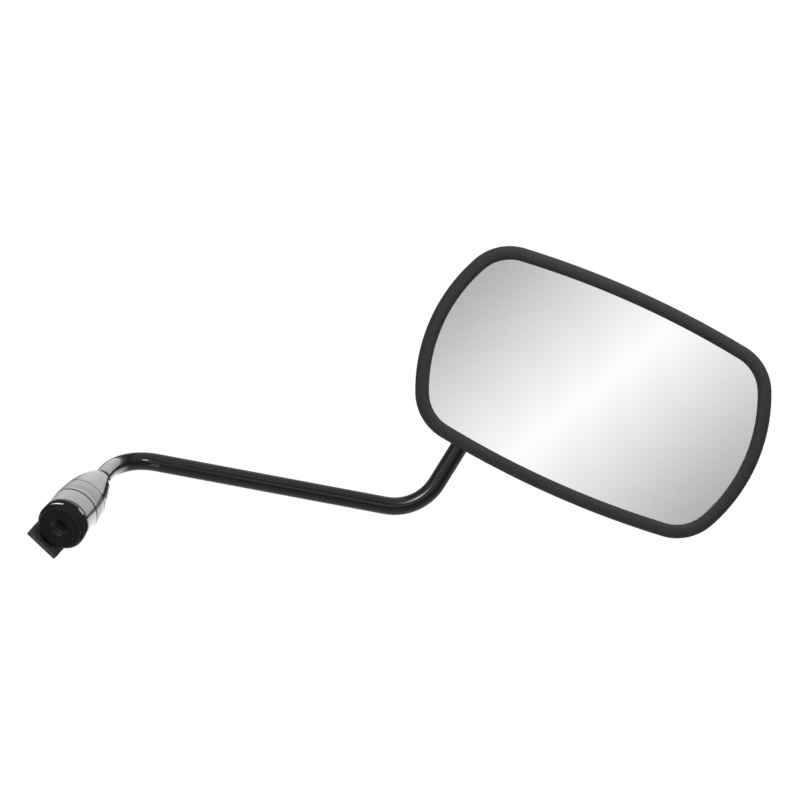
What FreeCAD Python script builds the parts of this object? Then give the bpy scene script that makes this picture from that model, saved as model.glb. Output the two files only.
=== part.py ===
import FreeCAD, Part
import math
import os

# Rear-view mirror for a motorbike: a bent stem on a keyed foot, and a mirror head on a ball joint.
# Millimetres. +X points outboard, +Y ahead and +Z up; the glass faces the rider, towards -Y.
# The origin is the centre of the foot's seating face.

# Fits
FIT = 0.1  # gap between pieces that are pushed together
RUN_FIT = 0.05  # radial clearance of pieces that turn in each other
TOUCH_GAP = 0.4  # least gap between pieces that move past each other
END_GAP = 0.5  # left at the end of a blind hole
NEAR = 1e-4  # points this close are one point

# Foot
FOOT_D = 28.4
FOOT_T = 8.4
FOOT_EDGE_R = 2.6
FOOT_BACK_EDGE_R = 0.8
FOOT_PITCH = 38.35  # foot axis above the level, degrees
FOOT_HEADING = 12.4  # foot axis outboard of straight ahead, degrees
PERCH_TAP_D = 8.75  # tapping size of M10 x 1.25
PERCH_TAP_DEPTH = 13.0
PERCH_MOUTH_D = 10.6
TONGUE_W = 21.0
TONGUE_ASIDE = 0.4  # middle of the tongue inboard of the foot's middle
TONGUE_TURN = 4.4  # tongue round the foot's axis, degrees
TONGUE_T = 2.5
TONGUE_REACH = 3.3  # past the seating face
TONGUE_EDGE_R = 0.8
HUB_D = 18.0
HUB_TOP = 31.0  # above the seating face
SPIGOT_H = 3.0  # shoulder that centres the collar

# Collar and boot round the hub
COLLAR_D = 28.2
COLLAR_WALL = 2.2
COLLAR_TOP = 19.6
RING_GAP = 0.4  # the ring line between collar and boot
BOOT_TOP = 56.2
BOOT_TIP_D = 11.8
BOOT_WALL = 2.0
BOOT_EDGE_R = 0.4
BOOT_LINE_AT = 31.5  # shallow ring line round the boot
BOOT_LINE_R = 0.35

# Stem
STEM_D = 10.0
STEM_SCREWED_IN = 15.0  # length held in the hub
LOWER_LEG = 82.1  # seating face to the lower corner
RUN = 170.5  # corner to corner
RISER = 64.6  # upper corner to the ball's centre
RUN_RISE = 14.25  # run above the level, degrees
RISER_TILT = 83.0  # riser above the level, degrees
BEND_R = 28.0
NUT_FLATS = 14.0
NUT_T = 6.0
LOCK_WASHER_D = 16.5
LOCK_WASHER_T = 2.2
LOCK_WASHER_SLIT = 1.2

# Ball joint
BALL_D = 16.0
BALL_SPIGOT_D = 7.0
BALL_SPIGOT_PAST = 4.0  # spigot past the ball's centre
PAD_T = 1.6
PAD_ANGLE = 40.0  # half-angle of each friction pad, degrees
SOCKET_WALL = 2.8
CLAMP_FRONT_WALL = 2.2
CLAMP_GAP = 1.2  # left open between the socket's halves
CLAMP_FLANGE_T = 2.6
CLAMP_EDGE_R = 3.0
CLAMP_CORNER_R = 4.5
SCREW_D = 4.0
SCREW_HEAD_D = 7.5
SCREW_HEAD_H = 2.6
SCREW_HEAD_R = 1.2
SCREW_RECESS = 1.4  # depth of the cross in the head
SCREW_CROSS_W = 0.9
SCREW_LENGTH = 11.0  # under the head
SCREW_APART_X = 32.0
SCREW_APART_Z = 13.0
SCREW_BOSS_D = 9.0
SCREW_WASHER_D = 8.4
SCREW_WASHER_T = 0.8
SWING = 14.5  # the neck lets the stem lean this far, degrees

# Mirror head
HEAD_HALF_L = 100.4
HEAD_HALF_H = 62.3
LONG_SAG = 9.1  # how far the long sides bow out
LONG_LEAN = 6.0  # crown of each long side off the middle: outboard above, inboard below
SHORT_SAG = 22.5  # how far the ends bow out
CORNER_R = 29.6
HEAD_DEPTH = 42.0
BACK_DOME_R = 600.0
BACK_EDGE_R = 20.0
HOUSING_WALL = 2.6
BALL_FROM_END = 47.6  # ball from the inboard end of the head
BALL_FROM_EDGE = 24.25  # ball above the middle of the head's lower edge
BALL_DEPTH = 24.0  # ball behind the front of the rim
NECK_WALL = 2.6
NECK_PROUD = 1.4
NECK_EDGE_R = 0.8
RIM_W = 7.6
RIM_SKIRT = 2.3
RIM_GRIP = 5.0
RIM_WEB = 1.0  # rubber between glass and housing
RIM_OUTER_R = 3.8
RIM_INNER_R = 2.8
RIM_BACK_R = 1.0
GLASS_R = 1400.0
GLASS_T = 3.0
GLASS_SET = 1.5  # middle of the glass behind the front of the rim
GLASS_GRIP = 4.0
GLASS_PAD_T = 1.2
GLASS_PAD_MARGIN = 1.0

ORIGIN = FreeCAD.Vector(0, 0, 0)
AHEAD = FreeCAD.Vector(0, 1, 0)
UP = FreeCAD.Vector(0, 0, 1)

# Directions of the stem, from the foot upwards
pitch = math.radians(FOOT_PITCH)
heading = math.radians(FOOT_HEADING)
FOOT_AXIS = FreeCAD.Vector(
    math.sin(heading) * math.cos(pitch), math.cos(heading) * math.cos(pitch), math.sin(pitch)
)
RUN_AXIS = FreeCAD.Vector(math.cos(math.radians(RUN_RISE)), 0, math.sin(math.radians(RUN_RISE)))
RISER_AXIS = FreeCAD.Vector(math.cos(math.radians(RISER_TILT)), 0, math.sin(math.radians(RISER_TILT)))
LOWER_CORNER = FOOT_AXIS * LOWER_LEG
UPPER_CORNER = LOWER_CORNER + RUN_AXIS * RUN
BALL_CENTRE = UPPER_CORNER + RISER_AXIS * RISER
BALL_INBOARD = HEAD_HALF_L - BALL_FROM_END
BALL_BELOW = HEAD_HALF_H - BALL_FROM_EDGE
HEAD_FRONT = BALL_CENTRE + FreeCAD.Vector(BALL_INBOARD, -BALL_DEPTH, BALL_BELOW)

# The foot's own frame: z up the foot's axis, x on the rider's side, so that the tongue is at -x
TO_RIDER = (FOOT_AXIS * AHEAD.dot(FOOT_AXIS) - AHEAD).normalize()
FOOT_FRAME = FreeCAD.Placement(
    ORIGIN, FreeCAD.Rotation(TO_RIDER, FOOT_AXIS.cross(TO_RIDER), FOOT_AXIS, "ZXY")
)

BALL_R = BALL_D / 2
SEAT_R = BALL_R + PAD_T + 2 * RUN_FIT
SOCKET_R = SEAT_R + SOCKET_WALL
STEM_R = STEM_D / 2
STEM_END = HUB_TOP - STEM_SCREWED_IN
SHOULDER = math.sqrt(BALL_R**2 - STEM_R**2)  # the ball sits on the rod's full width here
BOOT_LOW = COLLAR_TOP + RING_GAP
NOSE_DROP = (COLLAR_D - BOOT_TIP_D) / 2
NOSE_R = ((BOOT_TOP - BOOT_LOW) ** 2 + NOSE_DROP**2) / (2 * NOSE_DROP)  # arc of the boot's nose
NOSE_X = COLLAR_D / 2 - NOSE_R  # its centre, off the foot's axis
LONG_R = (HEAD_HALF_L**2 + LONG_SAG**2) / (2 * LONG_SAG)
SHORT_R = (HEAD_HALF_H**2 + SHORT_SAG**2) / (2 * SHORT_SAG)
WALL_INSET = RIM_SKIRT + FIT
INNER_INSET = WALL_INSET + HOUSING_WALL
GLASS_INSET = RIM_W - GLASS_GRIP
GLASS_END_SAG = GLASS_R - math.sqrt(GLASS_R**2 - (HEAD_HALF_L - GLASS_INSET) ** 2)
WALL_FRONT = GLASS_SET + GLASS_END_SAG + GLASS_T + RIM_WEB
SKIRT_END = WALL_FRONT + RIM_GRIP


def cylinder(radius, low, high, axis=UP, base=ORIGIN):
    """Cylinder between two heights along an axis through base."""
    return Part.makeCylinder(radius, high - low, base + axis * low, axis)


def in_foot_frame(shape):
    """Moves a shape modelled on the foot's own axis into the part's frame."""
    placed = shape.copy()
    placed.Placement = FOOT_FRAME.multiply(placed.Placement)
    return placed


def at_ball(shape):
    """Moves a shape modelled round the ball's centre into the part's frame."""
    return shape.translated(BALL_CENTRE)


def at_head(shape):
    """Moves a shape modelled behind the middle of the rim's front into the part's frame."""
    return shape.translated(HEAD_FRONT)


def revolved(edges, axis):
    """Solid of revolution of a closed profile about an axis through the origin."""
    return Part.Face(Part.Wire(edges)).revolve(ORIGIN, axis, 360)


def arc(start, middle, end):
    """Circular edge through three points."""
    return Part.Arc(start, middle, end).toShape()


def line(start, end):
    """Straight edge between two points."""
    return Part.LineSegment(start, end).toShape()


def box_between(low, high):
    """Box from its lowest to its highest corner."""
    size = high - low
    return Part.makeBox(size.x, size.y, size.z, low)


def edges_at(shape, axis, height):
    """Edges of a shape that lie wholly at one height along an axis."""
    found = []
    for edge in shape.Edges:
        if all(abs(vertex.Point.dot(axis) - height) < NEAR for vertex in edge.Vertexes):
            found.append(edge)
    return found


def edges_parallel(shape, axis):
    """Edges of a box that run along an axis."""
    found = []
    for edge in shape.Edges:
        if edge.tangentAt(edge.FirstParameter).cross(axis).Length < NEAR:
            found.append(edge)
    return found


def edges_along(shape, wire):
    """Edges of a shape that are the edges of a wire."""
    found = []
    for edge in shape.Edges:
        if any((edge.CenterOfMass - other.CenterOfMass).Length < NEAR for other in wire.Edges):
            found.append(edge)
    return found


def foot():
    """Casting: round base with a rounded edge, hub for the stem, tapped hole below and tongue beside it."""
    radius = FOOT_D / 2
    disc = cylinder(radius, 0, FOOT_T)
    disc = disc.makeFillet(FOOT_EDGE_R, edges_at(disc, UP, 0))
    disc = disc.makeFillet(FOOT_BACK_EDGE_R, edges_at(disc, UP, FOOT_T))
    back = -(radius + TONGUE_T)
    inboard = -TONGUE_ASIDE - TONGUE_W / 2
    outboard = inboard + TONGUE_W
    tongue = box_between(
        FreeCAD.Vector(back, inboard, -TONGUE_REACH), FreeCAD.Vector(-radius, outboard, FOOT_T)
    )
    tongue = tongue.makeFillet(TONGUE_EDGE_R, edges_parallel(tongue, FreeCAD.Vector(1, 0, 0)))
    root = box_between(
        FreeCAD.Vector(back + TONGUE_T / 2, inboard, FOOT_EDGE_R),
        FreeCAD.Vector(0, outboard, FOOT_T - FOOT_BACK_EDGE_R),
    )
    tongue = tongue.fuse(root).rotate(ORIGIN, UP, TONGUE_TURN)
    hub = cylinder(HUB_D / 2, 0, HUB_TOP)
    spigot = cylinder(COLLAR_D / 2 - COLLAR_WALL - FIT, 0, FOOT_T + SPIGOT_H)
    solid = disc.multiFuse([tongue, hub, spigot]).removeSplitter()
    tap_r = PERCH_TAP_D / 2
    mouth_r = PERCH_MOUTH_D / 2
    perch_hole = cylinder(tap_r, 0, PERCH_TAP_DEPTH)
    mouth = Part.makeCone(mouth_r, tap_r, mouth_r - tap_r)
    stem_hole = cylinder(STEM_R + RUN_FIT, STEM_END - END_GAP, HUB_TOP)
    return in_foot_frame(solid.cut([perch_hole, mouth, stem_hole]))


def foot_collar():
    """Gloss ring pushed over the foot's spigot, up to the ring line."""
    outer = cylinder(COLLAR_D / 2, FOOT_T, COLLAR_TOP)
    outer = outer.makeFillet(BOOT_EDGE_R, edges_at(outer, UP, COLLAR_TOP))
    return in_foot_frame(outer.cut(cylinder(COLLAR_D / 2 - COLLAR_WALL, FOOT_T, COLLAR_TOP)))


def nose_profile(thinner, tip_r):
    """Half section of the boot's nose, thinner all round: an arc tangent to the collar's cylinder."""
    arc_r = NOSE_R - thinner
    end_turn = math.acos((tip_r - NOSE_X) / arc_r)

    def point(turn):
        return FreeCAD.Vector(NOSE_X + arc_r * math.cos(turn), 0, BOOT_LOW + arc_r * math.sin(turn))

    top_of_axis = FreeCAD.Vector(0, 0, point(end_turn).z)
    foot_of_axis = FreeCAD.Vector(0, 0, BOOT_LOW)
    return [
        arc(point(0), point(end_turn / 2), point(end_turn)),
        line(point(end_turn), top_of_axis),
        line(top_of_axis, foot_of_axis),
        line(foot_of_axis, point(0)),
    ]


def stem_boot():
    """Bullet-shaped cover that grips the stem at its tip and hides the lock nut."""
    grip = STEM_R + FIT
    outer = revolved(nose_profile(0, BOOT_TIP_D / 2), UP)
    for height in (BOOT_TOP, BOOT_LOW):
        outer = outer.makeFillet(BOOT_EDGE_R, edges_at(outer, UP, height))
    inner = revolved(nose_profile(BOOT_WALL, grip), UP)
    line_r = NOSE_X + math.sqrt(NOSE_R**2 - (BOOT_LINE_AT - BOOT_LOW) ** 2)
    ring_line = Part.makeTorus(line_r, BOOT_LINE_R, FreeCAD.Vector(0, 0, BOOT_LINE_AT), UP)
    return in_foot_frame(outer.cut([inner, cylinder(grip, BOOT_LOW, BOOT_TOP), ring_line]))


def bend(corner, arriving, leaving):
    """Tangent arc of BEND_R at a corner: its start, middle and end."""
    half = arriving.getAngle(leaving) / 2
    reach = BEND_R * math.tan(half)
    inward = (leaving - arriving).normalize()
    middle = corner + inward * (BEND_R / math.cos(half) - BEND_R)
    return corner - arriving * reach, middle, corner + leaving * reach


def stem():
    """Round rod bent twice, with a turned-down spigot for the ball at its upper end."""
    first, first_mid, second = bend(LOWER_CORNER, FOOT_AXIS, RUN_AXIS)
    third, third_mid, fourth = bend(UPPER_CORNER, RUN_AXIS, RISER_AXIS)
    start = FOOT_AXIS * STEM_END
    shoulder = BALL_CENTRE - RISER_AXIS * SHOULDER
    path = Part.Wire(
        [
            line(start, first),
            arc(first, first_mid, second),
            line(second, third),
            arc(third, third_mid, fourth),
            line(fourth, shoulder),
        ]
    )
    section = Part.Wire([Part.Circle(start, FOOT_AXIS, STEM_R).toShape()])
    rod = path.makePipeShell([section], True, False)
    spigot = cylinder(BALL_SPIGOT_D / 2, -SHOULDER, BALL_SPIGOT_PAST, RISER_AXIS, BALL_CENTRE)
    return rod.fuse(spigot)


def lock_nut():
    """Hexagon nut with chamfered corners, on the stem above the hub."""
    low = HUB_TOP + LOCK_WASHER_T
    corner_r = NUT_FLATS / math.sqrt(3)
    corners = []
    for corner in range(6):
        turn = corner * math.pi / 3
        corners.append(FreeCAD.Vector(corner_r * math.cos(turn), corner_r * math.sin(turn), low))
    prism = Part.Face(Part.makePolygon(corners + corners[:1])).extrude(UP * NUT_T)
    flats_r = NUT_FLATS / 2
    rounded = Part.makeCone(flats_r + NUT_T, flats_r, NUT_T, FreeCAD.Vector(0, 0, low), UP)
    bore = cylinder(STEM_R + RUN_FIT, low, low + NUT_T)
    return in_foot_frame(prism.common(rounded).cut(bore))


def lock_washer():
    """Split spring washer between the hub and the nut."""
    high = HUB_TOP + LOCK_WASHER_T
    ring = cylinder(LOCK_WASHER_D / 2, HUB_TOP, high).cut(cylinder(STEM_R + FIT, HUB_TOP, high))
    half_slit = LOCK_WASHER_SLIT / 2
    slit = box_between(
        FreeCAD.Vector(0, -half_slit, HUB_TOP), FreeCAD.Vector(LOCK_WASHER_D, half_slit, high)
    )
    return in_foot_frame(ring.cut(slit))


def ball():
    """Steel ball, flat where it sits on the rod's shoulder and bored for the rod's spigot."""
    sphere = Part.makeSphere(BALL_R)
    below = cylinder(BALL_D, -BALL_D, -SHOULDER, RISER_AXIS)
    bore = cylinder(BALL_SPIGOT_D / 2 + RUN_FIT, -SHOULDER, BALL_SPIGOT_PAST + END_GAP, RISER_AXIS)
    return at_ball(sphere.cut([below, bore]))


def ball_pad(side):
    """Nylon friction pad: a cap of a thin sphere in front of or behind the ball, side -1 or +1 along Y."""
    angle = math.radians(PAD_ANGLE)
    inner_r = BALL_R + RUN_FIT
    outer_r = inner_r + PAD_T

    def point(radius, turn):
        return FreeCAD.Vector(radius * math.sin(turn), side * radius * math.cos(turn), 0)

    profile = [
        arc(point(inner_r, 0), point(inner_r, angle / 2), point(inner_r, angle)),
        line(point(inner_r, angle), point(outer_r, angle)),
        arc(point(outer_r, angle), point(outer_r, angle / 2), point(outer_r, 0)),
        line(point(outer_r, 0), point(inner_r, 0)),
    ]
    return at_ball(revolved(profile, AHEAD))


def stem_swing(length):
    """Cone about the riser, below the ball, that the stem sweeps as the head tips and rolls."""
    lean = math.radians(SWING)
    top_r = STEM_R / math.cos(lean) + TOUCH_GAP
    return Part.makeCone(top_r, top_r + length * math.tan(lean), length, ORIGIN, RISER_AXIS * -1)


def screw_places():
    """The four clamp screws' places round the ball, in X and Z."""
    places = []
    for across in (-1, 1):
        for height in (-1, 1):
            places.append(FreeCAD.Vector(across * SCREW_APART_X / 2, 0, height * SCREW_APART_Z / 2))
    return places


def ball_clamp():
    """Front half of the socket: a cup with a flange for the screws and a notch for the stem."""
    back = -CLAMP_GAP / 2
    front = -(SEAT_R + CLAMP_FRONT_WALL)
    cup = cylinder(SOCKET_R, front, back, AHEAD)
    cup = cup.makeFillet(CLAMP_EDGE_R, edges_at(cup, AHEAD, front))
    half_x = SCREW_APART_X / 2 + SCREW_BOSS_D / 2
    half_z = SCREW_APART_Z / 2 + SCREW_BOSS_D / 2
    flange = box_between(
        FreeCAD.Vector(-half_x, back - CLAMP_FLANGE_T, -half_z), FreeCAD.Vector(half_x, back, half_z)
    )
    flange = flange.makeFillet(CLAMP_CORNER_R, edges_parallel(flange, AHEAD))
    holes = []
    for place in screw_places():
        holes.append(cylinder(SCREW_D / 2 + FIT, back - CLAMP_FLANGE_T, back, AHEAD, place))
    solid = cup.fuse(flange).cut(holes + [Part.makeSphere(SEAT_R), stem_swing(2 * SOCKET_R)])
    return at_ball(solid)


def clamp_washers():
    """Flat washers under the clamp screws' heads."""
    high = -CLAMP_GAP / 2 - CLAMP_FLANGE_T
    low = high - SCREW_WASHER_T
    rings = []
    for place in screw_places():
        ring = cylinder(SCREW_WASHER_D / 2, low, high, AHEAD, place)
        rings.append(at_ball(ring.cut(cylinder(SCREW_D / 2 + FIT, low, high, AHEAD, place))))
    return Part.makeCompound(rings)


def clamp_screws():
    """Pan-head screws with a cross recess, from the glass side into the housing's bosses."""
    seat = -CLAMP_GAP / 2 - CLAMP_FLANGE_T - SCREW_WASHER_T
    top = seat - SCREW_HEAD_H
    screws = []
    for place in screw_places():
        head = cylinder(SCREW_HEAD_D / 2, top, seat, AHEAD, place)
        head = head.makeFillet(SCREW_HEAD_R, edges_at(head, AHEAD, top))
        shank = cylinder(SCREW_D / 2, seat, seat + SCREW_LENGTH, AHEAD, place)
        arm = SCREW_HEAD_D / 2 - SCREW_HEAD_R
        slots = []
        for half_x, half_z in ((arm, SCREW_CROSS_W / 2), (SCREW_CROSS_W / 2, arm)):
            slots.append(
                box_between(
                    place + FreeCAD.Vector(-half_x, top, -half_z),
                    place + FreeCAD.Vector(half_x, top + SCREW_RECESS, half_z),
                )
            )
        screws.append(at_ball(head.fuse(shank).cut(slots)))
    return Part.makeCompound(screws)


def outline_corner(lean):
    """Corner arc between an end and a long side whose crown leans to it: centre and end turns."""
    from_x = HEAD_HALF_L - SHORT_R - lean
    from_z = LONG_R - HEAD_HALF_H
    # The centre is CORNER_R inside both arcs
    apart = math.hypot(from_x, from_z)
    long_reach = LONG_R - CORNER_R
    short_reach = SHORT_R - CORNER_R
    along = (long_reach**2 - short_reach**2 + apart**2) / (2 * apart)
    aside = math.sqrt(long_reach**2 - along**2)
    x = lean + (along * from_x + aside * from_z) / apart
    z = (along * from_z - aside * from_x) / apart - from_z
    return x, z, math.atan2(z + from_z, x - lean), math.atan2(z, x + SHORT_R - HEAD_HALF_L)


def outline(inset, depth):
    """The head's outline, set in by inset: long, short and corner arcs, all tangent."""

    def on_corner(side_x, side_z, share):
        x, z, long_turn, short_turn = outline_corner(side_x * side_z * LONG_LEAN)
        turn = long_turn + share * (short_turn - long_turn)
        reach = CORNER_R - inset
        return FreeCAD.Vector(
            side_x * (x + reach * math.cos(turn)), depth, side_z * (z + reach * math.sin(turn))
        )

    edges = []
    for side in (1, -1):
        crown = FreeCAD.Vector(side * LONG_LEAN, depth, side * (HEAD_HALF_H - inset))
        end = FreeCAD.Vector(side * (HEAD_HALF_L - inset), depth, 0)
        edges.append(arc(on_corner(-side, side, 0), crown, on_corner(side, side, 0)))
        edges.append(arc(on_corner(side, side, 0), on_corner(side, side, 0.5), on_corner(side, side, 1)))
        edges.append(arc(on_corner(side, side, 1), end, on_corner(side, -side, 1)))
        edges.append(arc(on_corner(side, -side, 1), on_corner(side, -side, 0.5), on_corner(side, -side, 0)))
    return Part.Wire(edges)


def slab(inset, front, back):
    """The outline, set in by inset, filled from one depth to another."""
    return Part.Face(outline(inset, front)).extrude(AHEAD * (back - front))


def pillow(inset, front, thinner):
    """The housing's form: the outline carried back to a shallow dome with a broad rounded edge."""
    depth = HEAD_DEPTH - thinner
    dome_r = BACK_DOME_R - thinner
    dome = Part.makeSphere(dome_r, AHEAD * (depth - dome_r))
    solid = slab(inset, front, depth + HOUSING_WALL).common(dome)
    back_edges = []
    for edge in solid.Edges:
        if all(vertex.Point.y > WALL_FRONT + FIT for vertex in edge.Vertexes):
            back_edges.append(edge)
    return solid.makeFillet(BACK_EDGE_R - thinner, back_edges)


def housing():
    """Moulded shell with the rear half of the socket, four screw bosses and a neck for the stem."""
    ball_at = FreeCAD.Vector(-BALL_INBOARD, BALL_DEPTH, -BALL_BELOW)
    outer = pillow(WALL_INSET, WALL_FRONT, 0)
    hollow = pillow(INNER_INSET, WALL_FRONT - RIM_WEB, HOUSING_WALL)
    off_crown = BALL_INBOARD - LONG_LEAN
    wall_z = LONG_R - HEAD_HALF_H - math.sqrt((LONG_R - WALL_INSET) ** 2 - off_crown**2)
    neck_length = ball_at.z - wall_z + NECK_PROUD
    swing = stem_swing(2 * neck_length).translated(ball_at)
    lean = math.radians(SWING)
    neck_r = STEM_R / math.cos(lean) + TOUCH_GAP + neck_length * math.tan(lean) + NECK_WALL
    neck = cylinder(neck_r, -neck_length, 0, RISER_AXIS, ball_at)
    neck = neck.makeFillet(NECK_EDGE_R, edges_at(neck, RISER_AXIS, ball_at.dot(RISER_AXIS) - neck_length))
    behind_skirt = box_between(
        FreeCAD.Vector(-2 * HEAD_HALF_L, SKIRT_END + TOUCH_GAP, -2 * HEAD_HALF_H),
        FreeCAD.Vector(0, HEAD_DEPTH, 0),
    )
    shell = outer.fuse(neck.common(behind_skirt)).cut(hollow)
    parting = CLAMP_GAP / 2
    posts = [cylinder(SOCKET_R, parting, HEAD_DEPTH, AHEAD, ball_at)]
    holes = [Part.makeSphere(SEAT_R, ball_at), swing]
    screw_end = SCREW_LENGTH - SCREW_WASHER_T - CLAMP_FLANGE_T - CLAMP_GAP / 2 + END_GAP
    for place in screw_places():
        posts.append(cylinder(SCREW_BOSS_D / 2, parting, HEAD_DEPTH, AHEAD, ball_at + place))
        holes.append(cylinder(SCREW_D / 2 + RUN_FIT, parting, screw_end, AHEAD, ball_at + place))
    carriers = posts[0].multiFuse(posts[1:]).common(outer)
    return at_head(shell.fuse(carriers).removeSplitter().cut(holes))


def glass_sheet(inset, front_r, back_r):
    """Sheet between two spheres that share the glass's centre of curvature, cut to the outline."""
    centre = AHEAD * (GLASS_SET + GLASS_R)
    front = Part.makeSphere(front_r, centre)
    back = Part.makeSphere(back_r, centre)
    return slab(inset, 0, SKIRT_END).common(front).cut(back)


def mirror_glass():
    """Convex silvered glass."""
    return at_head(glass_sheet(GLASS_INSET, GLASS_R, GLASS_R - GLASS_T))


def glass_pad():
    """Foam sheet on the back of the glass."""
    front_r = GLASS_R - GLASS_T - FIT
    return at_head(glass_sheet(RIM_W + GLASS_PAD_MARGIN, front_r, front_r - GLASS_PAD_T))


def rim_gasket():
    """Rubber rim: a rounded bead with one slot for the edge of the glass and one for the housing's wall."""
    ring = slab(0, 0, SKIRT_END).cut(slab(RIM_W, 0, SKIRT_END))
    for inset, depth, radius in ((0, 0, RIM_OUTER_R), (RIM_W, 0, RIM_INNER_R), (0, SKIRT_END, RIM_BACK_R)):
        ring = ring.makeFillet(radius, edges_along(ring, outline(inset, depth)))
    glass_slot = glass_sheet(GLASS_INSET - FIT, GLASS_R + FIT, GLASS_R - GLASS_T - FIT)
    wall_slot = slab(WALL_INSET - FIT, WALL_FRONT - FIT, SKIRT_END).cut(
        slab(INNER_INSET + FIT, WALL_FRONT - FIT, SKIRT_END)
    )
    return at_head(ring.cut([glass_slot, wall_slot]))


def main():
    """Builds every piece and writes one file for each."""
    pieces = {
        "foot": foot(),
        "foot_collar": foot_collar(),
        "stem_boot": stem_boot(),
        "stem": stem(),
        "lock_nut": lock_nut(),
        "lock_washer": lock_washer(),
        "ball": ball(),
        "ball_pad_rear": ball_pad(1),
        "ball_pad_front": ball_pad(-1),
        "ball_clamp": ball_clamp(),
        "clamp_washers": clamp_washers(),
        "clamp_screws": clamp_screws(),
        "housing": housing(),
        "glass_pad": glass_pad(),
        "mirror_glass": mirror_glass(),
        "rim_gasket": rim_gasket(),
    }
    os.makedirs("parts", exist_ok=True)
    for name, shape in pieces.items():
        shape.exportStep("parts/" + name + ".step")


main()
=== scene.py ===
import math

import bpy
import numpy as np
from mathutils import Matrix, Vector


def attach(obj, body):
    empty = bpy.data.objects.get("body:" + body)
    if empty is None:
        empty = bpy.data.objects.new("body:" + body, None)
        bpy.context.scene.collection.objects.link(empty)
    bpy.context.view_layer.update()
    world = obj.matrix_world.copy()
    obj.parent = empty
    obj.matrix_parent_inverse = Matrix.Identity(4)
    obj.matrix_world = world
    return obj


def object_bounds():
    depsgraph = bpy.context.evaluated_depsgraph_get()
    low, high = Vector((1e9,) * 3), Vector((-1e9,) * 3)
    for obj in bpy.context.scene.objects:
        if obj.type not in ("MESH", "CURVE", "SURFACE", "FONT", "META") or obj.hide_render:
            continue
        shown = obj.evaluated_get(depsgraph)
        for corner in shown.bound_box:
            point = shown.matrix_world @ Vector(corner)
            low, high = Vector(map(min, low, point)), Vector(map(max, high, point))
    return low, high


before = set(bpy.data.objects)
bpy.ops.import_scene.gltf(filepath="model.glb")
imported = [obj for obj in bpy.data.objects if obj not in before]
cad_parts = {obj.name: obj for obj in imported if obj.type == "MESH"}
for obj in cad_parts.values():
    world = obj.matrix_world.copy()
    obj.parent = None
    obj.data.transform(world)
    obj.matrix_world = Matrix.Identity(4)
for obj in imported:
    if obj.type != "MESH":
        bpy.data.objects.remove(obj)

cad_box = [list(corner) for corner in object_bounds()]


# The foot is an iron casting, painted gloss black over a slightly pebbled skin.
# It seats on the motorbike's mirror perch, with its tongue over the perch's edge against turning.


def add_node(tree, kind, inputs=None, **settings):
    """Adds a node to a tree.

    Settings are the node's own properties. Inputs go by socket: another node's output is linked to it, and
    a value is set on it.
    """
    made = tree.nodes.new("ShaderNode" + kind)
    for name, value in settings.items():
        setattr(made, name, value)
    for socket, value in (inputs or {}).items():
        if isinstance(value, bpy.types.NodeSocket):
            tree.links.new(value, made.inputs[socket])
        else:
            made.inputs[socket].default_value = value
    return made


def empty_group(name, inputs, outputs):
    """Node group with sockets of these names and kinds, and the two ends in it that give and take them."""
    group = bpy.data.node_groups.new(name, "ShaderNodeTree")
    for in_out, sockets in (("INPUT", inputs), ("OUTPUT", outputs)):
        for socket, kind in sockets.items():
            group.interface.new_socket(socket, in_out=in_out, socket_type="NodeSocket" + kind)
    return group, group.nodes.new("NodeGroupInput").outputs, group.nodes.new("NodeGroupOutput").inputs


def dust_group():
    """Node group: settled dust and handling.

    Dust is a fine noise, held back to what faces up, which mixes the dust's colour into the paint's.
    Handling is a coarse noise, with so many patches to a metre, that spreads the roughness from smooth to
    dull.
    """
    group, given, gives = empty_group(
        "dust_and_handling",
        {
            "Paint": "Color", "Dust": "Color", "Dust Amount": "Float",
            "Smooth": "Float", "Dull": "Float", "Patches": "Float",
        },
        {"Color": "Color", "Roughness": "Float"},
    )
    place = add_node(group, "TexCoord").outputs["Object"]
    noise = add_node(group, "TexNoise", {"Vector": place, "Scale": 900, "Detail": 4})
    specks = add_node(group, "MapRange", {"Value": noise.outputs["Fac"], "From Min": 0.5, "From Max": 0.75})
    normal = add_node(group, "NewGeometry").outputs["Normal"]
    facing = add_node(group, "SeparateXYZ", {"Vector": normal})
    upward = add_node(group, "MapRange", {"Value": facing.outputs["Z"], "From Min": -0.2, "To Min": 0.15})
    settled = add_node(
        group, "Math", {0: specks.outputs["Result"], 1: upward.outputs["Result"]}, operation="MULTIPLY"
    )
    amount = add_node(
        group, "Math", {0: settled.outputs["Value"], 1: given["Dust Amount"]}, operation="MULTIPLY"
    )
    tint = add_node(
        group, "Mix", {"Factor": amount.outputs["Value"], "A": given["Paint"], "B": given["Dust"]},
        data_type="RGBA",
    )
    patches = add_node(group, "TexNoise", {"Vector": place, "Scale": given["Patches"], "Detail": 3})
    spread = add_node(group, "MapRange", {
        "Value": patches.outputs["Fac"], "From Min": 0.3, "From Max": 0.7,
        "To Min": given["Smooth"], "To Max": given["Dull"],
    })
    group.links.new(tint.outputs["Result"], gives["Color"])
    group.links.new(spread.outputs["Result"], gives["Roughness"])
    return group


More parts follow.
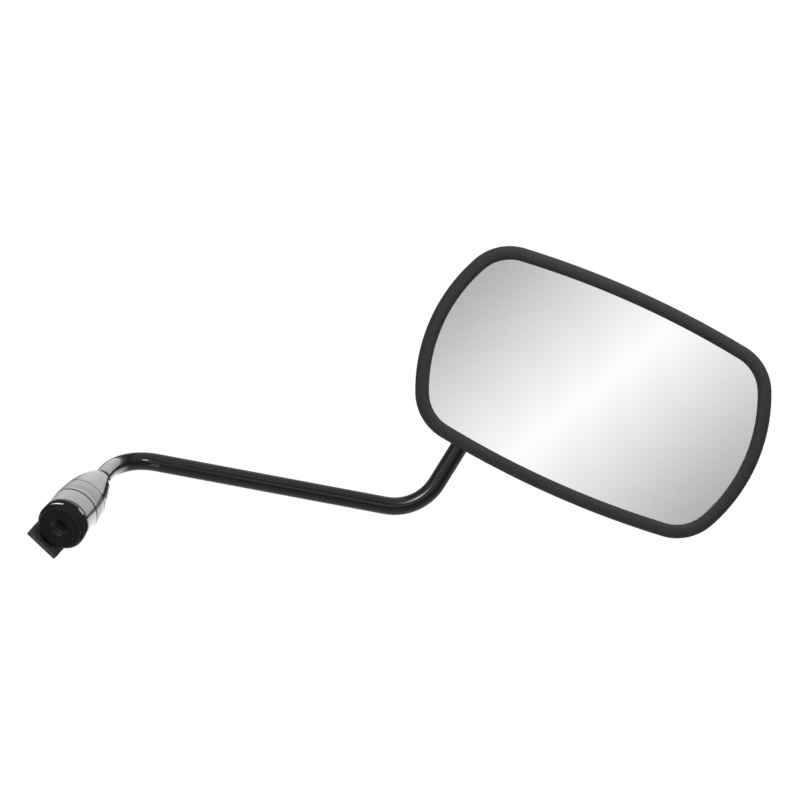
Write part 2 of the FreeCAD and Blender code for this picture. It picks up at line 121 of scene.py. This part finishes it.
def grain_group():
    """Node group: moulded or cast grain as a bump.

    Small cells, with so many to a metre, and a fine noise are added up and raised by Height metres.
    """
    group, given, gives = empty_group(
        "moulded_grain", {"Cells": "Float", "Height": "Float"}, {"Normal": "Vector"}
    )
    scaled = {"Vector": add_node(group, "TexCoord").outputs["Object"], "Scale": given["Cells"]}
    cells = add_node(group, "TexVoronoi", scaled, feature="SMOOTH_F1")
    fine = add_node(group, "TexNoise", {**scaled, "Detail": 4})
    both = add_node(group, "Math", {0: cells.outputs["Distance"], 1: fine.outputs["Fac"]}, operation="ADD")
    bump = add_node(
        group, "Bump", {"Strength": 1, "Distance": given["Height"], "Height": both.outputs["Value"]}
    )
    group.links.new(bump.outputs["Normal"], gives["Normal"])
    return group


dust_and_handling = dust_group()
moulded_grain = grain_group()


def finish(name, paint, dust, dust_amount, smooth, dull, patches, cells=0, height=0, **fixed):
    """Material for one finish.

    The two groups feed the shader, and what is the same all over stays on the shader's own sockets.
    """
    made = bpy.data.materials.new(name)
    made.use_nodes = True
    tree = made.node_tree
    shader = tree.nodes["Principled BSDF"]
    for socket, value in fixed.items():
        shader.inputs[socket.replace("_", " ")].default_value = value
    wear = add_node(tree, "Group", {
        "Paint": (*paint, 1), "Dust": (*dust, 1), "Dust Amount": dust_amount,
        "Smooth": smooth, "Dull": dull, "Patches": patches,
    }, node_tree=dust_and_handling)
    tree.links.new(wear.outputs["Color"], shader.inputs["Base Color"])
    tree.links.new(wear.outputs["Roughness"], shader.inputs["Roughness"])
    if cells:
        grain = add_node(tree, "Group", {"Cells": cells, "Height": height}, node_tree=moulded_grain)
        tree.links.new(grain.outputs["Normal"], shader.inputs["Normal"])
    return made


def dress(made, *solids):
    """Puts a finish in the material slots of these solids."""
    for solid in solids:
        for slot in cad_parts[solid].material_slots:
            slot.material = made


cast_black = finish(
    "cast_black", paint=(0.012, 0.012, 0.012), dust=(0.02, 0.02, 0.02), dust_amount=0.3,
    smooth=0.045, dull=0.075, patches=90, cells=900, height=4e-7, IOR=1.38,
)
dress(cast_black, "foot")

# The tongue is painted a patchy lighter grey: painted light, for the light that falls on its face.
# It is what stands out past the round base, or below the seating face.
foot_axis = np.array([0.168403, 0.765941, 0.620464])


def reach_along(tree, direction):
    """How far a point of the piece lies from the origin in a direction: the dot product of the two."""
    place = add_node(tree, "TexCoord").outputs["Object"]
    return add_node(tree, "VectorMath", {0: place, 1: direction}, operation="DOT_PRODUCT").outputs["Value"]


def paint_light_on_tongue(made, lit_grey, patches, base=0.0143, past_base=0.0152, face=-0.0002, below_face=-0.0006):
    """Mixes a patchy lighter colour, which is painted light, into a material's own colour on the tongue.

    A point's distance from the foot's axis is the length of its cross product with it, and its height is
    its reach along it. The mask rises from base to past_base in distance, and from face down to below_face
    in height. The larger of the two is multiplied by a noise.
    """
    tree = made.node_tree
    shader = tree.nodes["Principled BSDF"]
    painted = shader.inputs["Base Color"].links[0].from_socket
    place = add_node(tree, "TexCoord").outputs["Object"]
    sideways = add_node(tree, "VectorMath", {0: place, 1: foot_axis}, operation="CROSS_PRODUCT")
    off_axis = add_node(tree, "VectorMath", {0: sideways.outputs["Vector"]}, operation="LENGTH")
    outside = add_node(
        tree, "MapRange", {"Value": off_axis.outputs["Value"], "From Min": base, "From Max": past_base}
    )
    under = add_node(
        tree, "MapRange", {"Value": reach_along(tree, foot_axis), "From Min": face, "From Max": below_face}
    )
    tongue = add_node(
        tree, "Math", {0: outside.outputs["Result"], 1: under.outputs["Result"]}, operation="MAXIMUM"
    )
    noise = add_node(tree, "TexNoise", {"Vector": place, "Scale": patches, "Detail": 3})
    share = add_node(
        tree, "Math", {0: tongue.outputs["Value"], 1: noise.outputs["Fac"]}, operation="MULTIPLY"
    )
    colour = add_node(
        tree, "Mix", {"Factor": share.outputs["Value"], "A": painted, "B": (*lit_grey, 1)}, data_type="RGBA"
    )
    tree.links.new(colour.outputs["Result"], shader.inputs["Base Color"])


# Painted light: the tongue's face is painted a lighter grey than the rest of the foot.
paint_light_on_tongue(cast_black, lit_grey=(0.10, 0.10, 0.10), patches=350)

# The foot's hole is tapped M10 x 1.25 for the bolt that holds it on the perch.
# The thread is cut in the bare casting with only a thin run of paint; its lighter grey is partly painted
# light for the hole's shade.
to_rider = np.array([0.200680, -0.642908, 0.739177])
across = np.cross(foot_axis, to_rider)


def about_foot(radius, turn, height):
    """Points at a radius, turn and height about the foot's axis, in metres.

    The radius runs along to_rider times the turn's cosine plus across times its sine.
    """
    turned = np.cos(turn)[..., None] * to_rider + np.sin(turn)[..., None] * across
    return radius[..., None] * turned + height[..., None] * foot_axis


def mesh_of(name, points, wrap_rows=False, wrap_columns=False, turned_over=False):
    """Object at the origin: quads over a grid of points, rows by columns, joined round where it wraps."""
    rows, columns = points.shape[:2]
    index = np.arange(rows * columns).reshape(rows, columns)
    if wrap_rows:
        index = np.vstack([index, index[:1]])
    if wrap_columns:
        index = np.hstack([index, index[:, :1]])
    quads = np.stack([index[:-1, :-1], index[:-1, 1:], index[1:, 1:], index[1:, :-1]], -1).reshape(-1, 4)
    if turned_over:
        quads = quads[:, ::-1]
    mesh = bpy.data.meshes.new(name)
    mesh.from_pydata(points.reshape(-1, 3).tolist(), [], quads.tolist())
    mesh.polygons.foreach_set("use_smooth", np.ones(len(quads), bool))
    made = bpy.data.objects.new(name, mesh)
    bpy.context.scene.collection.objects.link(made)
    return made


def perch_thread_points(
    pitch=0.00125, wall=0.00437, ridge=0.00036, top=1.35, flank=4.2, low=0.00095, high=0.01290, skin=2e-6
):
    """Sleeve just inside the hole's wall.

    Its inner radius is the wall's less ridge times a blunt V, once a pitch, on a line that climbs a pitch a
    turn. The V is top less flank times the share of a pitch from its middle, held between 0 and 1, and it
    grows from nothing over the first pitch. The outer radius is the wall's and a thin skin, and closes the
    sleeve.
    """
    turn = np.linspace(0, 2 * math.pi, 72, endpoint=False)
    height = np.linspace(low, high, 124)
    step, round_ = np.meshgrid(height, turn, indexing="ij")
    phase = (step / pitch - round_ / (2 * math.pi)) % 1
    crest = np.clip(top - np.abs(phase - 0.5) * flank, 0, 1)
    fade = np.clip((step - low) / pitch, 0, 1)
    inner = about_foot(wall - ridge * crest * fade, round_, step)
    outer = about_foot(np.full_like(step[[-1, 0]], wall + skin), round_[[-1, 0]], step[[-1, 0]])
    return np.concatenate([inner, outer])


perch_thread = mesh_of("perch_thread", perch_thread_points(), wrap_rows=True, wrap_columns=True)
# The thread's grey is set lighter than the foot's paint, partly as painted light for the shade inside the
# hole.
perch_thread.data.materials.append(finish(
    "tapped_casting", paint=(0.035, 0.034, 0.033), dust=(0.07, 0.068, 0.064), dust_amount=0.6,
    smooth=0.3, dull=0.5, patches=120, cells=1400, height=1.2e-5, IOR=1.4,
))
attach(perch_thread, "foot")

# The collar is pushed over the foot's spigot, and the bullet-shaped boot above it grips the stem.
# Both are glossy black mouldings with a faint flow in the gloss, and they hide the lock nut.
gloss_black_plastic = finish(
    "gloss_black_plastic", paint=(0.006, 0.006, 0.006), dust=(0.04, 0.04, 0.04), dust_amount=0.25,
    smooth=0.08, dull=0.14, patches=45, IOR=1.5,
)
dress(gloss_black_plastic, "foot_collar", "stem_boot")

# Under the boot the stem is screwed into the foot's hub and locked by a nut on a spring washer.
# Both are zinc-plated steel with a fine, slightly cloudy skin, as are the head's screws and their washers.
plated_steel = finish(
    "plated_steel", paint=(0.52, 0.51, 0.47), dust=(0.3, 0.29, 0.27), dust_amount=0.5,
    smooth=0.25, dull=0.42, patches=220, cells=2600, height=6e-6, Metallic=1.0,
)
dress(plated_steel, "lock_nut", "lock_washer", "clamp_washers", "clamp_screws")

# The stem is a ten-millimetre steel rod, bent twice and then stove-enamelled gloss black.
# The enamel has a very slight orange peel, and dust lies along its top.
gloss_black_paint = finish(
    "gloss_black_paint", paint=(0.006, 0.006, 0.006), dust=(0.04, 0.04, 0.04), dust_amount=0.25,
    smooth=0.08, dull=0.13, patches=50, cells=420, height=2e-6, IOR=1.5,
)
dress(gloss_black_paint, "stem")

# The ball is a ground steel ball pressed on the stem's spigot, between two nylon friction pads.
# The pads keep the head where the rider sets it.
bright_steel = finish(
    "bright_steel", paint=(0.62, 0.62, 0.61), dust=(0.4, 0.4, 0.39), dust_amount=0.3,
    smooth=0.08, dull=0.2, patches=300, Metallic=1.0,
)
dress(bright_steel, "ball")
nylon = finish(
    "nylon", paint=(0.72, 0.70, 0.62), dust=(0.5, 0.48, 0.43), dust_amount=0.4,
    smooth=0.35, dull=0.5, patches=160, cells=2200, height=8e-6,
)
dress(nylon, "ball_pad_rear", "ball_pad_front")

# The housing is a black injection moulding with a spark-eroded grain, and has the socket's rear half.
# The clamp is moulded in the same black, and four screws draw it on to the ball.
black_moulding = finish(
    "black_moulding", paint=(0.022, 0.022, 0.023), dust=(0.07, 0.07, 0.07), dust_amount=0.5,
    smooth=0.42, dull=0.56, patches=35, cells=1300, height=3.5e-5,
)
dress(black_moulding, "housing", "ball_clamp")

# A sheet of foam is glued to the back of the glass, so that it doesn't rattle or scatter when it breaks.
# It is charcoal grey with open cells.
foam = finish(
    "foam", paint=(0.09, 0.09, 0.09), dust=(0.2, 0.2, 0.2), dust_amount=0.6,
    smooth=0.8, dull=0.95, patches=80, cells=1100, height=2.5e-4,
)
dress(foam, "glass_pad")

# The glass is convex, silvered on its back and held in the rim's inner slot.
# Its face is clean but for a faint film that dulls it in places.
mirror = finish(
    "mirror", paint=(0.92, 0.92, 0.92), dust=(0.8, 0.8, 0.8), dust_amount=0.3,
    smooth=0.008, dull=0.03, patches=18, Metallic=1.0,
)
dress(mirror, "mirror_glass")

# The rim is a black rubber moulding, stretched round the glass and the housing's front edge.
# Its skin is matte and very finely textured, with a little grey dust where it faces up.
rim_rubber = finish(
    "rim_rubber", paint=(0.025, 0.025, 0.025), dust=(0.06, 0.06, 0.06), dust_amount=0.2,
    smooth=0.55, dull=0.7, patches=40, cells=4000, height=6e-6, Specular_IOR_Level=0.15,
)
dress(rim_rubber, "rim_gasket")

# The floor is a round of pale paper well below the mirror, clear from underneath.
# It takes the mirror's shadow, and fades to the white of the room towards its edge.
floor_level = -0.30
floor_middle = (np.array(cad_box[0]) + np.array(cad_box[1])) / 2
floor_middle[2] = floor_level


def floor_points(hole=0.002, radius=1.6):
    """Round sheet: rings of points about the floor's middle, from a pinhole out to radius."""
    reach, turn = np.meshgrid(np.linspace(hole, radius, 24), np.linspace(0, 2 * math.pi, 96), indexing="ij")
    outward = np.stack([np.cos(turn), np.sin(turn), np.zeros_like(turn)], -1)
    return floor_middle + reach[..., None] * outward


def clear_behind(tree, surface):
    """Shader that is the surface from its front, and nothing from behind."""
    side = add_node(tree, "NewGeometry").outputs["Backfacing"]
    clear = add_node(tree, "BsdfTransparent").outputs["BSDF"]
    return add_node(tree, "MixShader", {"Fac": side, 1: surface, 2: clear}).outputs["Shader"]


def pale_paper(colour, roughness, fade_from, fade_to):
    """Matte paper that goes over to white between two distances from the floor's middle."""
    made = bpy.data.materials.new("pale_paper")
    made.use_nodes = True
    tree = made.node_tree
    sheet = tree.nodes["Principled BSDF"]
    sheet.inputs["Base Color"].default_value = (*colour, 1)
    sheet.inputs["Roughness"].default_value = roughness
    white = add_node(tree, "Emission", {"Color": (1, 1, 1, 1)}).outputs["Emission"]
    place = add_node(tree, "TexCoord").outputs["Object"]
    reach = add_node(tree, "VectorMath", {0: place, 1: floor_middle}, operation="DISTANCE")
    fade = add_node(
        tree, "MapRange", {"Value": reach.outputs["Value"], "From Min": fade_from, "From Max": fade_to}
    )
    both = add_node(tree, "MixShader", {"Fac": fade.outputs["Result"], 1: sheet.outputs["BSDF"], 2: white})
    front = clear_behind(tree, both.outputs["Shader"])
    tree.links.new(front, tree.nodes["Material Output"].inputs["Surface"])
    return made


floor = mesh_of("floor", floor_points(), turned_over=True)
floor.data.materials.append(pale_paper((0.86, 0.86, 0.86), roughness=0.9, fade_from=0.5, fade_to=1.3))

# A board stands well before the glass, for the glass to reflect.
# It is white along one slanting line and falls evenly to grey on both sides of it.


def studio_card(name, points, strength, along=None, both_sides=False, shade=None, one_way=False):
    """A card that shows only in reflections, white at strength 1.

    With along, which is a direction, a start and an end, the strength is a pair: it goes from the first to
    the second as a point's reach in that direction goes from start to end. With both_sides the reach from
    start is taken without its sign. A shade multiplies the strength: it is a direction, a start and an end
    too, with the factor at stops from 0 to 1 between them. A one_way card is clear from behind.
    """
    card = mesh_of(name, points)
    glow = bpy.data.materials.new(name)
    glow.use_nodes = True
    tree = glow.node_tree
    tree.nodes.remove(tree.nodes["Principled BSDF"])
    if along:
        direction, start, end = along
        offset = add_node(tree, "Math", {0: reach_along(tree, direction), 1: start}, operation="SUBTRACT")
        if both_sides:
            offset = add_node(tree, "Math", {0: offset.outputs["Value"]}, operation="ABSOLUTE")
        strength = add_node(tree, "MapRange", {
            "Value": offset.outputs["Value"], "From Max": end - start,
            "To Min": strength[0], "To Max": strength[1],
        }).outputs["Result"]
    if shade:
        direction, start, end, stops = shade
        part = add_node(
            tree, "MapRange", {"Value": reach_along(tree, direction), "From Min": start, "From Max": end}
        )
        ramp = add_node(tree, "ValToRGB", {"Fac": part.outputs["Result"]})
        for position, _ in stops[1:-1]:
            ramp.color_ramp.elements.new(position)
        for element, (_, factor) in zip(ramp.color_ramp.elements, stops):
            element.color = (factor, factor, factor, 1)
        strength = add_node(
            tree, "Math", {0: strength, 1: ramp.outputs["Color"]}, operation="MULTIPLY"
        ).outputs["Value"]
    surface = add_node(tree, "Emission", {"Strength": strength}).outputs["Emission"]
    if one_way:
        surface = clear_behind(tree, surface)
    tree.links.new(surface, tree.nodes["Material Output"].inputs["Surface"])
    card.data.materials.append(glow)
    card.visible_camera = False
    card.visible_diffuse = False
    card.visible_transmission = False
    card.visible_shadow = False


def flat_points(corner, edge, up):
    """Flat sheet: a corner and the two edges that leave it."""
    first, second = np.meshgrid((0, 1), (0, 1), indexing="ij")
    return np.array(corner) + first[..., None] * np.array(edge) + second[..., None] * np.array(up)


board_middle = np.array([0.2468, -1.36, 0.1985])
board_width = np.array([0.76, 0, 0])
board_height = np.array([0, 0, 0.52])
board_slant = np.array([math.cos(math.radians(154)), 0, math.sin(math.radians(154))])
board_corner = board_middle - board_width / 2 - board_height / 2
board_line = board_middle @ board_slant
board_fall = 0.40
studio_card(
    "glass_board", flat_points(board_corner, board_width, board_height), strength=(1.08, 0.216),
    along=(board_slant, board_line, board_line + board_fall), both_sides=True,
)

# Bright cards stand close round the collar and the lower boot, as in a light tent, for their sheen.
# They leave a gap where the stem is mirrored; a dark skirt keeps the foot's edge black but for two glints.


def tent_points(first, last, low, high, high_climbs=False, lean=0, radius=0.024, collar=0.014, slope=1.19):
    """Part of a cylinder about the foot's axis, between two turns and two heights.

    The view is reflected off the collar at half a card's turn, and runs out to the cylinder while it climbs
    slope times as far. The low end, and the high one if it climbs, lies where that run from its height on
    the collar ends. The first turn grows by lean towards the high end.
    """
    share, part = np.meshgrid(np.linspace(0, 1, 24), np.linspace(0, 1, 60), indexing="ij")
    turn = np.radians(first + lean * share + part * (last - first - lean * share))
    half = turn / 2
    climb = slope * (np.sqrt(radius ** 2 - (collar * np.sin(half)) ** 2) - collar * np.cos(half))
    bottom, top = low + climb, high + climb * high_climbs
    return about_foot(np.full_like(turn, radius), turn, bottom + share * (top - bottom))


tent_slant = math.cos(math.radians(12)) * to_rider - math.sin(math.radians(12)) * across
studio_card(
    "tent_left", tent_points(-170, 45, 0.0090, 0.062), strength=(1.2, 7.2), along=(tent_slant, 0, 0.024),
    shade=(foot_axis, 0.020, 0.062, ((0, 1), (0.34, 1), (0.43, 0.76), (0.62, 0.80), (1, 0.76))),
)
studio_card(
    "tent_right", tent_points(54, 170, 0.0090, 0.062, lean=18), strength=(2.0, 5.0),
    along=(to_rider, -0.018, 0.010), shade=(foot_axis, 0.030, 0.062, ((0, 1.05), (0.34, 0.75), (1, 0.8))),
)
studio_card("tent_gap", tent_points(38, 100, 0.0090, 0.064, radius=0.030), strength=1.1)
studio_card(
    "tent_skirt", tent_points(-120, 100, -0.030, 0.0099, high_climbs=True, radius=0.027), strength=0.04
)
studio_card("foot_glint_left", tent_points(-94, -43, 0.0031, 0.0042, high_climbs=True), strength=13)
studio_card("foot_glint_right", tent_points(7, 31, 0.0063, 0.0073, high_climbs=True), strength=13)

# A lid closes the tent above the boot's nose, in two parts with the stem and its mirror image between them.
# It shines downwards only, so that the bend above isn't lit by it.


def lid_points(first, last, first_lean, last_lean, level=0.060, inner=0.0068, outer=0.024):
    """Part of a flat ring round the stem.

    Its two ends lie at turns that grow by their leans from the inner edge to the outer one.
    """
    share, part = np.meshgrid(np.linspace(0, 1, 16), np.linspace(0, 1, 60), indexing="ij")
    turn = np.radians((first + first_lean * share) * (1 - part) + (last + last_lean * share) * part)
    return about_foot(inner + share * (outer - inner), turn, np.full_like(share, level))


studio_card(
    "lid_left", lid_points(-150, 26, 0, 26), strength=(0.4, 5.0), along=(tent_slant, -0.004, 0.020),
    one_way=True,
)
studio_card("lid_right", lid_points(62, 172, 26, 0), strength=2.8, one_way=True)

# A sleeve above the lid, close round the stem, does the same for its first leg, and is clear from outside.
# It fades out where the bend begins, lower on the right than on the left.


def sleeve_points(first, last, low=0.0605, high=0.092, radius=0.010):
    """Part of a cylinder about the foot's axis between two turns, with its front to the inside."""
    around = np.radians(np.linspace(last, first, 60))
    share, turn = np.meshgrid(np.linspace(0, 1, 16), around, indexing="ij")
    return about_foot(np.full_like(turn, radius), turn, low + share * (high - low))


sleeve_slant = foot_axis + 0.9 * across
sleeve_fade = ((0, 1), (0.2, 0.66), (0.28, 0.42), (0.48, 0.15), (1, 0.03))
studio_card(
    "sleeve_left", sleeve_points(-150, 32), strength=(0.8, 7.4), along=(tent_slant, 0, 0.010),
    shade=(sleeve_slant, 0.0745, 0.0805, sleeve_fade), one_way=True,
)
studio_card(
    "sleeve_right", sleeve_points(58, 150), strength=4.0,
    shade=(foot_axis, 0.0715, 0.0745, ((0, 1), (1, 0.15))), one_way=True,
)

# A small card to the right of the camera puts the soft light on the stem's lower bend.
# It stands above what the glass can mirror.
studio_card("bend_card", flat_points((0.25, -1.2, 0.48), (0.27, 0, 0), (0, 0, 0.37)), strength=12.0)

# Grey flags stand round the set and keep the middle of the black rod dark.
# The one before it reaches high and pales upwards; one lies on the floor, and a small one below the foot.
for name, corner, edge, up, strength, along in (
    ("front_flag", (-0.35, -1.5, -0.29), (1.95, 0, 0), (0, 0, 2.5), (0.28, 0.5), ((0, 0, 1), 0.9, 2.2)),
    ("left_flag", (-1.5, -0.9, -0.29), (0, 2.1, 0), (0, 0, 2.5), 0.3, None),
    ("right_flag", (1.6, -1.5, -0.29), (0, 2.7, 0), (0, 0, 2.5), (0.15, 0.6), ((0, 1, 0), -0.6, 0.3)),
    ("back_flag", (-1.5, 1.2, -0.29), (3.4, 0, 0), (0, 0, 1.9), 0.45, None),
    ("floor_flag", (-1.2, -1.5, -0.295), (2.9, 0, 0), (0, 2.7, 0), (0.2, 0.63), ((0, 1, 0), -0.65, 0.15)),
    ("top_flag", (-1.5, -1.5, 2.2), (3.4, 0, 0), (0, 2.7, 0), (0.55, 0.15), ((1, 0, 0), 0.2, 0.9)),
    ("foot_flag", (-0.10, -0.09, -0.12), (0.14, 0, 0), (0, 0.14, 0), 0.05, None),
):
    studio_card(name, flat_points(corner, edge, up), strength, along)

# A large soft white card high on the left of the camera puts the streaks on the bends.
# It is brightest in the middle and fades towards its edges.
key_middle = np.array([-0.329, -0.948, 0.460])
key_facing = np.array([0.433, 0.843, -0.321])
key_half = 0.22
key_along = np.array([0.596, 0, 0.803])
key_along -= key_facing * (key_along @ key_facing)
key_along /= np.linalg.norm(key_along)
key_up = np.cross(key_along, key_facing)
key_corner = key_middle - key_half * (key_along + key_up)
key_across, key_rise = key_middle @ key_along, key_middle @ key_up
studio_card(
    "key_card", flat_points(key_corner, 2 * key_half * key_along, 2 * key_half * key_up),
    strength=(24.0, 0.3), along=(key_along, key_across, key_across + key_half), both_sides=True,
    shade=(key_up, key_rise - key_half, key_rise + key_half, ((0, 0.02), (0.5, 1), (1, 0.02))),
)

# Two lamps light the set without showing in reflections: one where the white card is, and one overhead.
# The mirror's shadow falls softly behind it on the floor.


def softbox(name, at, size, power, aim=(0.17, 0.05, 0.11)):
    """Square area lamp at one point, facing another, with one side as near as it can be to the X axis."""
    lamp = bpy.data.lights.new(name, "AREA")
    lamp.size = size
    lamp.energy = power
    made = bpy.data.objects.new(name, lamp)
    forward = np.array(aim) - np.array(at)
    forward /= np.linalg.norm(forward)
    sideways = np.array([1, 0, 0]) - forward * forward[0]
    sideways /= np.linalg.norm(sideways)
    turned = np.eye(4)
    turned[:3] = np.stack([sideways, np.cross(sideways, forward), -forward, at], 1)
    made.matrix_world = Matrix(turned.tolist())
    made.visible_glossy = False
    bpy.context.scene.collection.objects.link(made)


softbox("key_softbox", key_middle, size=0.5, power=1.2)
softbox("top_softbox", (0.1, -0.3, 1.5), size=1.2, power=30)

# The room is white to the camera and in reflections.
# It gives a plain, even level of light from all sides.
room = bpy.data.worlds.new("white_room")
room.use_nodes = True
seen = room.node_tree.nodes["Background"]
seen.inputs["Color"].default_value = (1, 1, 1, 1)
lit = add_node(room.node_tree, "Background", {"Color": (1, 1, 1, 1), "Strength": 0.5})
ray = add_node(room.node_tree, "LightPath").outputs
direct = add_node(
    room.node_tree, "Math", {0: ray["Is Camera Ray"], 1: ray["Is Glossy Ray"]}, operation="MAXIMUM"
)
through = add_node(
    room.node_tree, "Math", {0: direct.outputs["Value"], 1: ray["Is Transmission Ray"]}, operation="MAXIMUM"
)
either = add_node(room.node_tree, "MixShader", {
    "Fac": through.outputs["Value"], 1: lit.outputs["Background"], 2: seen.outputs["Background"],
})
room.node_tree.links.new(either.outputs["Shader"], room.node_tree.nodes["World Output"].inputs["Surface"])
bpy.context.scene.world = room
bpy.context.scene.view_settings.view_transform = "Standard"

# The camera looks straight at the glass from far off through a long lens.
# It is turned so that the head leans as it hangs in the picture.
roll = math.radians(24.85)
distance = 20.0
view_middle = (0.14303, 0.0389, 0.14544)
view_width = 0.4494
lens = bpy.data.cameras.new("camera")
lens.sensor_fit = "HORIZONTAL"
lens.sensor_width = 36
lens.lens = lens.sensor_width * distance / view_width
lens.clip_end = 3 * distance
camera = bpy.data.objects.new("camera", lens)
camera.matrix_world = Matrix((
    (math.cos(roll), -math.sin(roll), 0, view_middle[0]),
    (0, 0, -1, view_middle[1] - distance),
    (math.sin(roll), math.cos(roll), 0, view_middle[2]),
    (0, 0, 0, 1),
))
bpy.context.scene.collection.objects.link(camera)
bpy.context.scene.camera = camera
